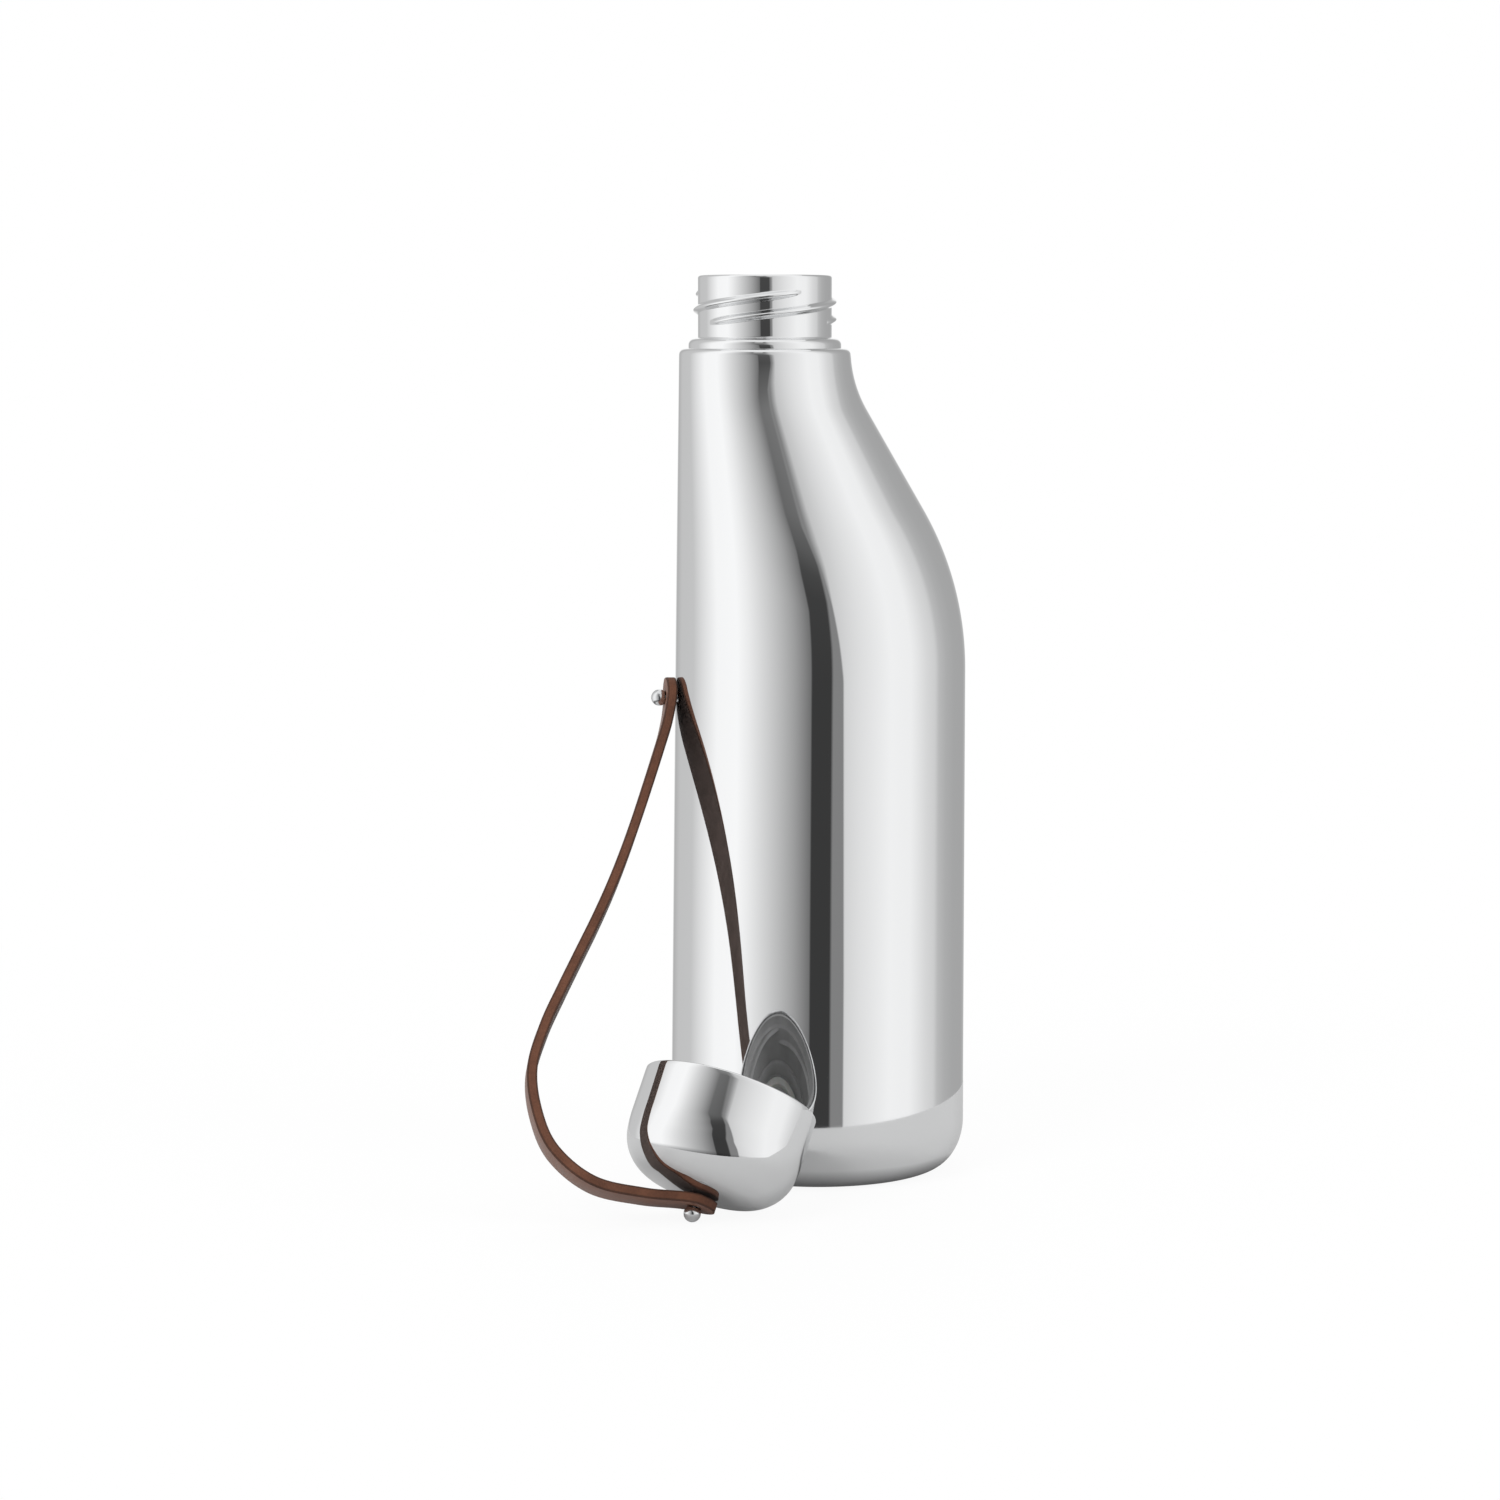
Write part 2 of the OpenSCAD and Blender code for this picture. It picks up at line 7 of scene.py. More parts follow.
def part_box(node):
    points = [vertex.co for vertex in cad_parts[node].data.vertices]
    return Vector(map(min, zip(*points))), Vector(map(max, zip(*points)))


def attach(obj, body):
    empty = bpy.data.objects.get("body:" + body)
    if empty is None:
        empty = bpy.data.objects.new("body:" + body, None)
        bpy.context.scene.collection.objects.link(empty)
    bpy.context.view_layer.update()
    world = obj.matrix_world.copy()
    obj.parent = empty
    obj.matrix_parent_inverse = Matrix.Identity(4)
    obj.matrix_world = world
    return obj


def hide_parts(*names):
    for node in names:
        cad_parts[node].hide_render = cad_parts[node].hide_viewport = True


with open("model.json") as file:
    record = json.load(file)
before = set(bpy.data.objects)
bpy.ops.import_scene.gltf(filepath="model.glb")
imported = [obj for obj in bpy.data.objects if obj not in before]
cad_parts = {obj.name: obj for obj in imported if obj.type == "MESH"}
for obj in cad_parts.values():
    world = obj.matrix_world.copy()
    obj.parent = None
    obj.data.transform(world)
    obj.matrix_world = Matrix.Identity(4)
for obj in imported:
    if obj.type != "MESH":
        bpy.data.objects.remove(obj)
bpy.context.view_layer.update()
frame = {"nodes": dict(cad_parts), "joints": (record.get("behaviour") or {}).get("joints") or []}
joints = {joint["name"]: joint for joint in frame["joints"]}
print("stage: frame loaded")


# Camera

cameraSetup = {
    "place": (-0.19039, -0.98186, 0.210),   # one metre away, just above the body's top edge
    "lens": 96,
    "tiltDown": 5.965,                      # degrees
    "turn": -10,                            # degrees round from the bottle's front
}


def makeCamera():
    data = bpy.data.cameras.new("photoCamera")
    data.lens = cameraSetup["lens"]
    camera = bpy.data.objects.new("photoCamera", data)
    camera.location = cameraSetup["place"]
    camera.rotation_euler = (math.radians(90 - cameraSetup["tiltDown"]), 0,
                             math.radians(cameraSetup["turn"]))
    bpy.context.scene.collection.objects.link(camera)
    bpy.context.scene.camera = camera


makeCamera()
print("stage: camera")


# Node helpers

def newMaterial(name):
    material = bpy.data.materials.new(name)
    material.use_nodes = True
    tree = material.node_tree
    tree.nodes.clear()
    output = tree.nodes.new("ShaderNodeOutputMaterial")
    return material, tree, output


def addNode(tree, kind, **settings):
    # settings are node properties; names that the node lacks are its input sockets
    node = tree.nodes.new(kind)
    for key, value in settings.items():
        if hasattr(node, key):
            setattr(node, key, value)
        else:
            node.inputs[key.replace("_", " ")].default_value = value
    return node


def mathNode(tree, operation, first, second=None, third=None):
    node = tree.nodes.new("ShaderNodeMath")
    node.operation = operation
    for socket, value in zip(node.inputs, (first, second, third)):
        if value is None:
            continue
        if isinstance(value, (int, float)):
            socket.default_value = value
        else:
            tree.links.new(value, socket)
    return node.outputs[0]


def rampNode(tree, value, stops):
    # stops are (position, grey) or (position, (r, g, b))
    node = tree.nodes.new("ShaderNodeValToRGB")
    elements = node.color_ramp.elements
    while len(elements) < len(stops):
        elements.new(0.5)
    for element, (position, tone) in zip(elements, stops):
        element.position = position
        element.color = (*tone, 1) if isinstance(tone, tuple) else (tone, tone, tone, 1)
    tree.links.new(value, node.inputs["Fac"])
    return node.outputs["Color"]


def objectNoise(tree, scale, detail, stretch=(1, 1, 1), roughness=0.5):
    # noise in the object's own metres, so it stays on the piece at every pose
    coords = tree.nodes.new("ShaderNodeTexCoord")
    mapping = tree.nodes.new("ShaderNodeMapping")
    mapping.inputs["Scale"].default_value = stretch
    noise = tree.nodes.new("ShaderNodeTexNoise")
    noise.inputs["Scale"].default_value = scale
    noise.inputs["Detail"].default_value = detail
    noise.inputs["Roughness"].default_value = roughness
    tree.links.new(coords.outputs["Object"], mapping.inputs["Vector"])
    tree.links.new(mapping.outputs["Vector"], noise.inputs["Vector"])
    return noise.outputs["Fac"]


def bumpNode(tree, height, strength, distance):
    bump = tree.nodes.new("ShaderNodeBump")
    bump.inputs["Strength"].default_value = strength
    bump.inputs["Distance"].default_value = distance
    tree.links.new(height, bump.inputs["Height"])
    return bump.outputs["Normal"]


def mapped(tree, value, start, end, low, high):
    # start..end becomes low..high, and stays within it
    node = tree.nodes.new("ShaderNodeMapRange")
    for key, number in (("From Min", start), ("From Max", end), ("To Min", low), ("To Max", high)):
        node.inputs[key].default_value = number
    tree.links.new(value, node.inputs["Value"])
    return node.outputs["Result"]


def spread(tree, noise, low, high):
    # the middle half of a noise becomes low..high
    return mapped(tree, noise, 0.25, 0.75, low, high)


def principled(tree, output, **sockets):
    # constants go on the shader's own sockets, links come from nodes
    shader = tree.nodes.new("ShaderNodeBsdfPrincipled")
    for key, value in sockets.items():
        socket = shader.inputs[key.replace("_", " ")]
        if isinstance(value, bpy.types.NodeSocket):
            tree.links.new(value, socket)
        else:
            socket.default_value = value
    tree.links.new(shader.outputs["BSDF"], output.inputs["Surface"])
    return shader


# Metals: roughness goes from the first number to the second, bump is strength and depth in metres,
# and a noise is its scale per metre, its detail and its stretch

mirrorSetup = {
    "tone": (0.80, 0.805, 0.81, 1),
    "roughness": (0.018, 0.045),
    "haze": (60, 4),                     # patches of polishing haze
    "hairlines": (900, 2, (1, 1, 0.06)),
    "hairlineShare": 0.35,               # of the roughness; the haze has the rest
    "bump": (0.02, 0.00001),
}


def mirrorSteel():
    # buffed to a mirror, with hairlines far too fine to feel
    m = mirrorSetup
    material, tree, output = newMaterial("polishedSteel")
    haze = objectNoise(tree, *m["haze"])
    hairlines = objectNoise(tree, *m["hairlines"])
    mixed = mathNode(tree, "MULTIPLY_ADD", hairlines, m["hairlineShare"],
                     mathNode(tree, "MULTIPLY", haze, 1 - m["hairlineShare"]))
    principled(tree, output, Base_Color=m["tone"], Metallic=1.0,
               Roughness=spread(tree, mixed, *m["roughness"]),
               Normal=bumpNode(tree, hairlines, *m["bump"]))
    return material


metalSetup = {
    # studs: turned and tumbled, a little softer than the mirror finish
    "turnedSteel": {"tone": (0.72, 0.725, 0.73, 1), "metallic": 1.0, "roughness": (0.05, 0.12),
                    "grain": (2500, 2), "bump": (0.05, 0.00001)},
    # electropolished inside, with stains and the rings left by the spinning tool
    "linerSteel": {"tone": (0.60, 0.61, 0.62, 1), "metallic": 1.0, "roughness": (0.16, 0.30),
                   "grain": (900, 2, (0.03, 0.03, 1)), "stains": (45, 5), "bump": (0.15, 0.00003)},
    # sheet as it leaves the press, with a short grain in one direction
    "pressedSteel": {"tone": (0.56, 0.57, 0.58, 1), "metallic": 1.0, "roughness": (0.22, 0.38),
                     "grain": (2200, 3, (0.05, 1, 1)), "bump": (0.25, 0.00002)},
    # pressed powder, dark and matt
    "sinteredGetter": {"tone": (0.16, 0.16, 0.17, 1), "metallic": 0.8, "roughness": (0.55, 0.80),
                       "grain": (4000, 4), "bump": (0.6, 0.00005)},
}


def metal(name):
    m = metalSetup[name]
    material, tree, output = newMaterial(name)
    grain = objectNoise(tree, *m["grain"])
    worn = objectNoise(tree, *m["stains"]) if "stains" in m else grain
    principled(tree, output, Base_Color=m["tone"], Metallic=m["metallic"],
               Roughness=spread(tree, worn, *m["roughness"]), Normal=bumpNode(tree, grain, *m["bump"]))
    return material


# Leather, plastic and silicone

leatherSetup = {
    # colours from dark to light, roughness, and how much the fibres stand up
    "face": ((0.150, 0.066, 0.042), (0.200, 0.094, 0.060), (0.34, 0.50), 0.5),    # grain side
    "edge": ((0.080, 0.031, 0.017), (0.150, 0.061, 0.034), (0.60, 0.76), 1.4),    # raw cut edge
    "rim": ((0.045, 0.018, 0.010), (0.080, 0.034, 0.020), (0.50, 0.66), 0.8),     # rounded corners, coloured darker than the flat faces
    "back": ((0.085, 0.062, 0.054), (0.130, 0.096, 0.084), (0.66, 0.80), 2.0),    # flesh side
    "pores": 2600,                         # per metre
    "mottle": (160, 5, (1, 1, 1), 0.6),
    "fibres": (3200, 3, (1, 1, 0.35)),
    "fibreShare": 0.35,                    # of the colour; the mottle has the rest
    "toneRange": (0.32, 0.68),             # the part of the noise that goes from dark to light
    "specular": 0.25,
    "sheen": (0.03, 0.5),                  # weight, roughness
    "bump": (0.25, 0.00008),
}


def leather(name, finish):
    s = leatherSetup
    dark, light, rough, fibre = s[finish]
    material, tree, output = newMaterial(name)
    coords = tree.nodes.new("ShaderNodeTexCoord")
    pores = addNode(tree, "ShaderNodeTexVoronoi", feature="F1", Scale=s["pores"])
    tree.links.new(coords.outputs["Object"], pores.inputs["Vector"])
    mottle = objectNoise(tree, *s["mottle"])
    fibres = objectNoise(tree, *s["fibres"])
    height = mathNode(tree, "MULTIPLY_ADD", fibres, fibre, pores.outputs["Distance"])
    tone = mathNode(tree, "MULTIPLY_ADD", fibres, s["fibreShare"],
                    mathNode(tree, "MULTIPLY", mottle, 1 - s["fibreShare"]))
    colour = rampNode(tree, tone, list(zip(s["toneRange"], (dark, light))))
    weight, softness = s["sheen"]
    principled(tree, output, Base_Color=colour, Roughness=spread(tree, mottle, *rough),
               Specular_IOR_Level=s["specular"], Sheen_Weight=weight, Sheen_Roughness=softness,
               Normal=bumpNode(tree, height, *s["bump"]))
    return material


plasticSetup = {
    "texture": (3500, 2),
    "flow": (120, 3),                      # clouds that the plastic's flow leaves
    "tones": [(0.3, 0.32), (0.7, 0.38)],
    "roughness": (0.60, 0.74),
    "specular": 0.2,
    "bump": (0.2, 0.00003),
}


def mouldedPlastic():
    s = plasticSetup
    material, tree, output = newMaterial("mouldedPlastic")
    texture = objectNoise(tree, *s["texture"])
    colour = rampNode(tree, objectNoise(tree, *s["flow"]), s["tones"])
    principled(tree, output, Base_Color=colour, Roughness=spread(tree, texture, *s["roughness"]),
               Specular_IOR_Level=s["specular"], Normal=bumpNode(tree, texture, *s["bump"]))
    return material


siliconeSetup = {
    "cloud": (300, 3),
    "tones": [(0.3, (0.60, 0.60, 0.57)), (0.7, (0.68, 0.68, 0.66))],
    "roughness": (0.42, 0.55),
    "subsurface": (0.15, 0.001),           # weight, metres
    "bump": (0.1, 0.00004),
}


def siliconeRubber():
    s = siliconeSetup
    material, tree, output = newMaterial("siliconeSeal")
    cloud = objectNoise(tree, *s["cloud"])
    weight, depth = s["subsurface"]
    principled(tree, output, Base_Color=rampNode(tree, cloud, s["tones"]),
               Roughness=spread(tree, cloud, *s["roughness"]),
               Subsurface_Weight=weight, Subsurface_Scale=depth,
               Normal=bumpNode(tree, cloud, *s["bump"]))
    return material


polished = mirrorSteel()
turned = metal("turnedSteel")
lining = metal("linerSteel")
pressed = metal("pressedSteel")
getterMetal = metal("sinteredGetter")
leatherFace = leather("leatherFace", "face")
leatherEdge = leather("leatherEdge", "edge")
leatherRim = leather("leatherRim", "rim")
leatherBack = leather("leatherBack", "back")
plastic = mouldedPlastic()
silicone = siliconeRubber()
print("stage: materials")


# Mesh helpers: every made piece is lofted through rings of points

def ringFaces(count, sides, joined):
    faces = []
    for i in range(count if joined else count - 1):
        low = i * sides
        high = (i + 1) % count * sides
        for j in range(sides):
            k = (j + 1) % sides
            faces.append((low + j, low + k, high + k, high + j))
    return faces


def loft(name, rings, materials, joined=True, sharp=35, slots=None):
    # joined closes the last ring on the first; otherwise both ends get a cap
    sides = len(rings[0])
    points = [point for ring in rings for point in ring]
    faces = ringFaces(len(rings), sides, joined)
    if not joined:
        faces.append(tuple(reversed(range(sides))))
        faces.append(tuple(range(len(points) - sides, len(points))))
    mesh = bpy.data.meshes.new(name)
    mesh.from_pydata(points, [], faces)
    for material in materials:
        mesh.materials.append(material)
    if slots:
        for face in mesh.polygons:
            face.material_index = slots(face.index % sides)
    mesh.polygons.foreach_set("use_smooth", [True] * len(mesh.polygons))
    mesh.set_sharp_from_angle(angle=math.radians(sharp))
    mesh.update()
    piece = bpy.data.objects.new(name, mesh)
    bpy.context.scene.collection.objects.link(piece)
    return piece


def circleRing(x, z, radius, sides):
    turns = [2 * math.pi * j / sides for j in range(sides)]
    return [(x + radius * math.cos(a), radius * math.sin(a), z) for a in turns]


def latheRings(profile, sides, place=Matrix(), lift=None):
    # profile is (radius, height); lift(angle, height) moves a point outwards where it is marked
    rings = []
    for radius, height, *marked in profile:
        ring = []
        for j in range(sides):
            angle = 2 * math.pi * j / sides
            reach = radius + (lift(math.degrees(angle), height) if marked else 0)
            ring.append(place @ Vector((reach * math.cos(angle), reach * math.sin(angle), height)))
        rings.append(ring)
    return rings


def arcPoints(x, y, radius, start, end, steps):
    angles = [math.radians(start + (end - start) * i / steps) for i in range(steps + 1)]
    return [(x + radius * math.cos(a), y + radius * math.sin(a)) for a in angles]


def levels(start, end, steps):
    return [start + (end - start) * i / steps for i in range(steps + 1)]


def settle(piece, body, slotName, *nodes):
    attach(piece, body)
    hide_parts(*nodes)


# Sizes of the body, with its straight left side

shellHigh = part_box("outer_shell")[1]
neckLow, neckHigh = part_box("neck")
bottleSetup = {
    "height": shellHigh.z,
    "footRadius": shellHigh.x,
    "neckX": (neckLow.x + neckHigh.x) / 2,
    "topRadius": 0.02135,
    "hollowRadius": 0.030,      # curve under the neck
    "fullRadius": 0.080,        # curve below it
    "shoulderSlope": math.radians(30),
    "cornerWidth": 0.0089,      # rounded foot corner
    "cornerHeight": 0.0123,
    "topEdgeRadius": 0.0016,
    "wall": 0.0008,
    "footOpening": 0.0267,      # radius of the hole that the base disc fills
    "neckHole": 0.01695,
    "edgeDrop": 0.0006,         # the side's last ring is this far below the rounded top edge
    "outsideSteps": (24, 150, 12),   # rings of the foot's corner, the side and the top edge
    "insideSteps": (8, 50, 4),
    "sides": 288,
}


def leftSide(z):
    b = bottleSetup
    top = b["neckX"] - b["topRadius"]
    climb = max(0.0, (z - b["cornerHeight"]) / (b["height"] - b["cornerHeight"]))
    return -b["footRadius"] + (top + b["footRadius"]) * climb


# Strap: one flat length of leather in a plane that leans out to the front

studHeight = joints["strap_swing"]["pos_m"][2]
lidSeat = Vector(joints["lid_swivel"]["pos_m"])     # the middle of the leather on the lid's stud
lidAxis = Vector(joints["lid_swivel"]["axis"])
footLeft = -shellHigh.x          # the foot is centred on the origin

strapSetup = {
    "width": 0.010,
    "thickness": 0.0025,
    "cornerRadius": 0.00045,
    "tipCorner": 0.6,            # the most of the half width that it takes near a tip
    "holeRadius": 0.00175,
    "cutterLength": 0.010,       # well through the leather
    "lift": 0.00155,             # from the steel to the middle of the leather
    "bodySpace": 0.0001,         # further out than that at the body
    "bodyWay": (-0.02, 1),       # the way that the leather leaves the body's stud
    "tipTurns": [86, 78, 68, 56, 43, 30, 15],    # degrees round the half-circle of each tip
    "stepsPerBend": 9,
    "cornerSteps": 4,
    # flat faces of the section: 0 grain side, 1 raw edge, 3 flesh side; all others are 2, corners
    "flatFaces": {4: 1, 9: 0, 14: 1, 19: 3},
    "holeSides": 40,
    # each bend: how far out from the foot's left side, and the share of the way down to the lid
    "bends": [(0.0022, 0.060), (0.0049, 0.119), (0.0082, 0.187), (0.0116, 0.255),
              (0.0152, 0.323), (0.0191, 0.390), (0.0234, 0.456), (0.0282, 0.524),
              (0.0329, 0.591), (0.0376, 0.662), (0.0412, 0.742), (0.0408, 0.822),
              (0.0373, 0.897), (0.0286, 0.959), (0.0167, 0.985)],
    "bodyPull": 0.008,           # reach of the knots beyond the two ends
    "lidPull": 0.014,
    "twist": math.radians(5),    # turn of the leather about its own length at the lid
}

strapSway = math.atan2(-lidSeat.y, studHeight - lidSeat.z)
strapDrop = math.hypot(lidSeat.y, studHeight - lidSeat.z)
lidLean = math.asin(-lidAxis.x / math.cos(strapSetup["twist"]))
strapPlane = (Matrix.Translation((0, 0, studHeight))
              @ Matrix.Rotation(math.pi - strapSway, 4, "X"))


def smoothPoint(a, b, c, d, t):
    # Catmull-Rom curve from b to c
    return 0.5 * ((2 * b) + (c - a) * t + (2 * a - 5 * b + 4 * c - d) * t * t
                  + (3 * b - a - 3 * c + d) * t * t * t)


def strapRoute():
    # places in the strap's plane: x, and the distance down from the body's stud
    bodySeat = Vector((leftSide(studHeight) - strapSetup["lift"] - strapSetup["bodySpace"], 0))
    bodyWay = Vector(strapSetup["bodyWay"])
    lidWay = Vector((math.cos(lidLean), math.sin(lidLean)))
    lidEnd = Vector((lidSeat.x, strapDrop))
    knots = [bodySeat - strapSetup["bodyPull"] * bodyWay, bodySeat]
    knots += [Vector((footLeft - out, share * strapDrop)) for out, share in strapSetup["bends"]]
    knots += [lidEnd, lidEnd + strapSetup["lidPull"] * lidWay]
    half = strapSetup["width"] / 2
    tip = [math.radians(a) for a in strapSetup["tipTurns"]]
    route = [(bodySeat - half * math.sin(a) * bodyWay, half * math.cos(a)) for a in tip]
    steps = strapSetup["stepsPerBend"]
    for i in range(len(knots) - 3):
        route += [(smoothPoint(*knots[i:i + 4], j / steps), half) for j in range(steps)]
    route += [(lidEnd, half)]
    route += [(lidEnd + half * math.sin(a) * lidWay, half * math.cos(a)) for a in reversed(tip)]
    return route, bodySeat, lidEnd


def strapSection(halfWidth):
    # flat band with rounded corners: (through the thickness, across the width)
    thick = strapSetup["thickness"] / 2
    corner = min(strapSetup["cornerRadius"], halfWidth * strapSetup["tipCorner"])
    section = []
    for side, up, start in ((1, 1, 0), (-1, 1, 90), (-1, -1, 180), (1, -1, 270)):
        section += arcPoints(side * (thick - corner), up * (halfWidth - corner), corner,
                             start, start + 90, strapSetup["cornerSteps"])
    return section


def strapMaterial(j):
    return strapSetup["flatFaces"].get(j, 2)


def cutHole(piece, place, direction, radius, length):
    bpy.ops.mesh.primitive_cylinder_add(vertices=strapSetup["holeSides"], radius=radius, depth=length)
    cutter = bpy.context.object
    turn = direction.to_track_quat("Z", "Y").to_matrix().to_4x4()
    cutter.matrix_world = Matrix.Translation(place) @ turn
    cut = piece.modifiers.new("hole", "BOOLEAN")
    cut.operation = "DIFFERENCE"
    cut.solver = "EXACT"
    cut.object = cutter
    bpy.context.view_layer.objects.active = piece
    bpy.ops.object.modifier_apply(modifier=cut.name)
    bpy.data.objects.remove(cutter)


def makeStrap():
    route, bodySeat, lidEnd = strapRoute()
    rings = []
    for i, (place, halfWidth) in enumerate(route):
        before = route[max(i - 1, 0)][0]
        after = route[min(i + 1, len(route) - 1)][0]
        way = (after - before).normalized()
        turn = strapSetup["twist"] * max(0.0, min(1.0, place.y / strapDrop)) ** 2
        ring = []
        for through, across in strapSection(halfWidth):
            reach = through * math.cos(turn) - across * math.sin(turn)
            side = through * math.sin(turn) + across * math.cos(turn)
            point = Vector((place.x + reach * way.y, side, place.y - reach * way.x))
            ring.append(strapPlane @ point)
        rings.append(ring)
    strap = loft("leatherStrap", rings, [leatherFace, leatherEdge, leatherRim, leatherBack], joined=False,
                 sharp=50, slots=strapMaterial)
    holes = ((bodySeat, Vector((1, 0, 0))), (lidEnd, lidAxis))
    for seat, direction in holes:
        cutHole(strap, strapPlane @ Vector((seat.x, 0, seat.y)), direction,
                strapSetup["holeRadius"], strapSetup["cutterLength"])
    settle(strap, "tether", "strap_leather", "strap")


makeStrap()
print("stage: strap")


# Body: every level section is a circle, the left side is straight and the right one an S-curve

def rightSide(z):
    b = bottleSetup
    slope = b["shoulderSlope"]
    neckRight = b["neckX"] + b["topRadius"]
    hollowRun = b["hollowRadius"] * (1 - math.cos(slope))
    fullRun = b["fullRadius"] * (1 - math.cos(slope))
    slopeTop = b["height"] - b["hollowRadius"] * math.sin(slope)
    slopeRun = b["footRadius"] - neckRight - hollowRun - fullRun
    slopeFoot = slopeTop - slopeRun / math.tan(slope)
    sideTop = slopeFoot - b["fullRadius"] * math.sin(slope)
    if z >= slopeTop:
        return neckRight + b["hollowRadius"] - math.sqrt(b["hollowRadius"] ** 2 - (b["height"] - z) ** 2)
    if z >= slopeFoot:
        return neckRight + hollowRun + (slopeTop - z) * math.tan(slope)
    if z >= sideTop:
        return b["footRadius"] - b["fullRadius"] + math.sqrt(b["fullRadius"] ** 2 - (z - sideTop) ** 2)
    return b["footRadius"]


def sideRing(z, inset, sides):
    left = leftSide(z)
    right = rightSide(z)
    return circleRing((left + right) / 2, z, (right - left) / 2 - inset, sides)


def footRings(low, high, inset, width, steps, sides):
    # quarter of an ellipse from the standing surface up to the side
    rings = []
    for i in range(steps):
        turn = math.pi / 2 * i / steps
        z = high - (high - low) * math.cos(turn)
        rings.append(sideRing(z, inset + width * (1 - math.sin(turn)), sides))
    return rings


def topEdgeRings(inset, radius, steps, sides):
    b = bottleSetup
    rings = []
    for reach, height in arcPoints(b["topRadius"] - inset - radius, b["height"] - inset - radius,
                                   radius, 0, 90, steps):
        rings.append(circleRing(b["neckX"], height, reach, sides))
    return rings


def makeShell():
    b = bottleSetup
    sides = b["sides"]
    wall = b["wall"]
    footSteps, sideSteps, edgeSteps = b["outsideSteps"]
    sideEnd = b["height"] - b["topEdgeRadius"] - b["edgeDrop"]
    outside = [circleRing(0, 0, b["footOpening"], sides)]
    outside += footRings(0, b["cornerHeight"], 0, b["cornerWidth"], footSteps, sides)
    outside += [sideRing(z, 0, sides) for z in levels(b["cornerHeight"], sideEnd, sideSteps)]
    outside += topEdgeRings(0, b["topEdgeRadius"], edgeSteps, sides)
    outside += [circleRing(b["neckX"], b["height"], b["neckHole"], sides)]
    footSteps, sideSteps, edgeSteps = b["insideSteps"]
    inside = [circleRing(0, wall, b["footOpening"], sides)]
    inside += footRings(wall, b["cornerHeight"], wall, b["cornerWidth"] - wall, footSteps, sides)
    inside += [sideRing(z, wall, sides) for z in levels(b["cornerHeight"], sideEnd, sideSteps)]
    inside += topEdgeRings(wall, b["topEdgeRadius"] - wall, edgeSteps, sides)
    inside += [circleRing(b["neckX"], b["height"] - wall, b["neckHole"], sides)]
    shell = loft("outerShell", outside + inside[::-1], [polished])
    settle(shell, "bottle", "polished_steel", "outer_shell")


linerSetup = {
    "gap": 0.0028,
    "wall": 0.0008,
    "floor": 0.0053,       # underside of the liner's floor
    "top": 0.2042,
    "footSteps": 12,
    "sideSteps": 60,
    "sides": 160,
}


def makeLiner():
    b = bottleSetup
    s = linerSetup
    sides = s["sides"]
    outer = b["wall"] + s["gap"]
    inner = outer + s["wall"]
    curveTop = b["cornerHeight"] + s["gap"]
    low = s["floor"]
    outside = footRings(low, curveTop, outer, b["cornerWidth"], s["footSteps"], sides)
    outside += [sideRing(z, outer, sides) for z in levels(curveTop, s["top"], s["sideSteps"])]
    inside = footRings(low + s["wall"], curveTop, inner, b["cornerWidth"] - s["wall"], s["footSteps"],
                       sides)
    inside += [sideRing(z, inner, sides) for z in levels(curveTop, s["top"], s["sideSteps"])]
    liner = loft("innerLiner", outside + inside[::-1], [lining], joined=False)
    settle(liner, "bottle", "liner_steel", "inner_liner")


# Threads: rounded ribs on a helix, raised out of the wall itself

ribForm = {
    "endWidth": 0.55,        # share of the width where a rib ends
    "moreWidth": 0.45,       # what it gains as it rises
    "endCurve": 0.8,         # exponents: below 1 is fuller, above 1 more pointed
    "crestCurve": 1.4,
}

threadSetup = {
    "starts": 3,
    "lead": 0.013,
    "depth": 0.00115,
    "width": 0.0023,
    "turn": 206,
    "startHeight": 0.0063,   # above the body's top edge
    "startTurn": -34,
    "fade": 0.13,            # share of a rib's turn that it takes to rise out of the wall
}


def ribHeight(spec, angle, height):
    # how far the ribs stand out at this angle, in degrees, and height
    tallest = 0.0
    for start in range(spec["starts"]):
        turned = (angle - spec["startTurn"] - 360 * start / spec["starts"]) % 360
        if turned > spec["turn"]:
            continue
        share = turned / spec["turn"]
        rise = min(1.0, min(share, 1 - share) / spec["fade"])
        rise = math.sin(rise * math.pi / 2) ** ribForm["endCurve"]
        middle = spec["startHeight"] + spec["lead"] * turned / 360
        halfWidth = spec["width"] / 2 * (ribForm["endWidth"] + ribForm["moreWidth"] * rise)
        reach = abs(height - middle) / halfWidth
        if reach < 1:
            crest = math.cos(reach * math.pi / 2) ** ribForm["crestCurve"]
            tallest = max(tallest, spec["depth"] * rise * crest)
    return tallest


neckSetup = {
    "radius": 0.01665,
    "mouthRadius": 0.0155,
    "collarRadius": 0.019,
    "collarHeight": 0.0025,
    "collarEdge": 0.0017,
    "lip": 0.0007,
    "tail": 0.008,              # how far the neck goes down into the body
    "weldRadius": 0.0169,       # low band that the liner's top is welded to
    "weldDrop": 0.003,
    "weldSlope": 0.0003,
    "fillet": (0.00025, 0.0002),    # between collar and neck: width, height
    "ribClear": 0.0005,         # from the collar to the first row
    "mouthEdge": 0.0003,
    "borePlain": (0.002, 12),   # the bore's rings stop this far from its ends; their number
    "ribRows": 130,
    "edgeSteps": (10, 8, 4),    # of the collar, the lip and the mouth
    "sides": 360,
}


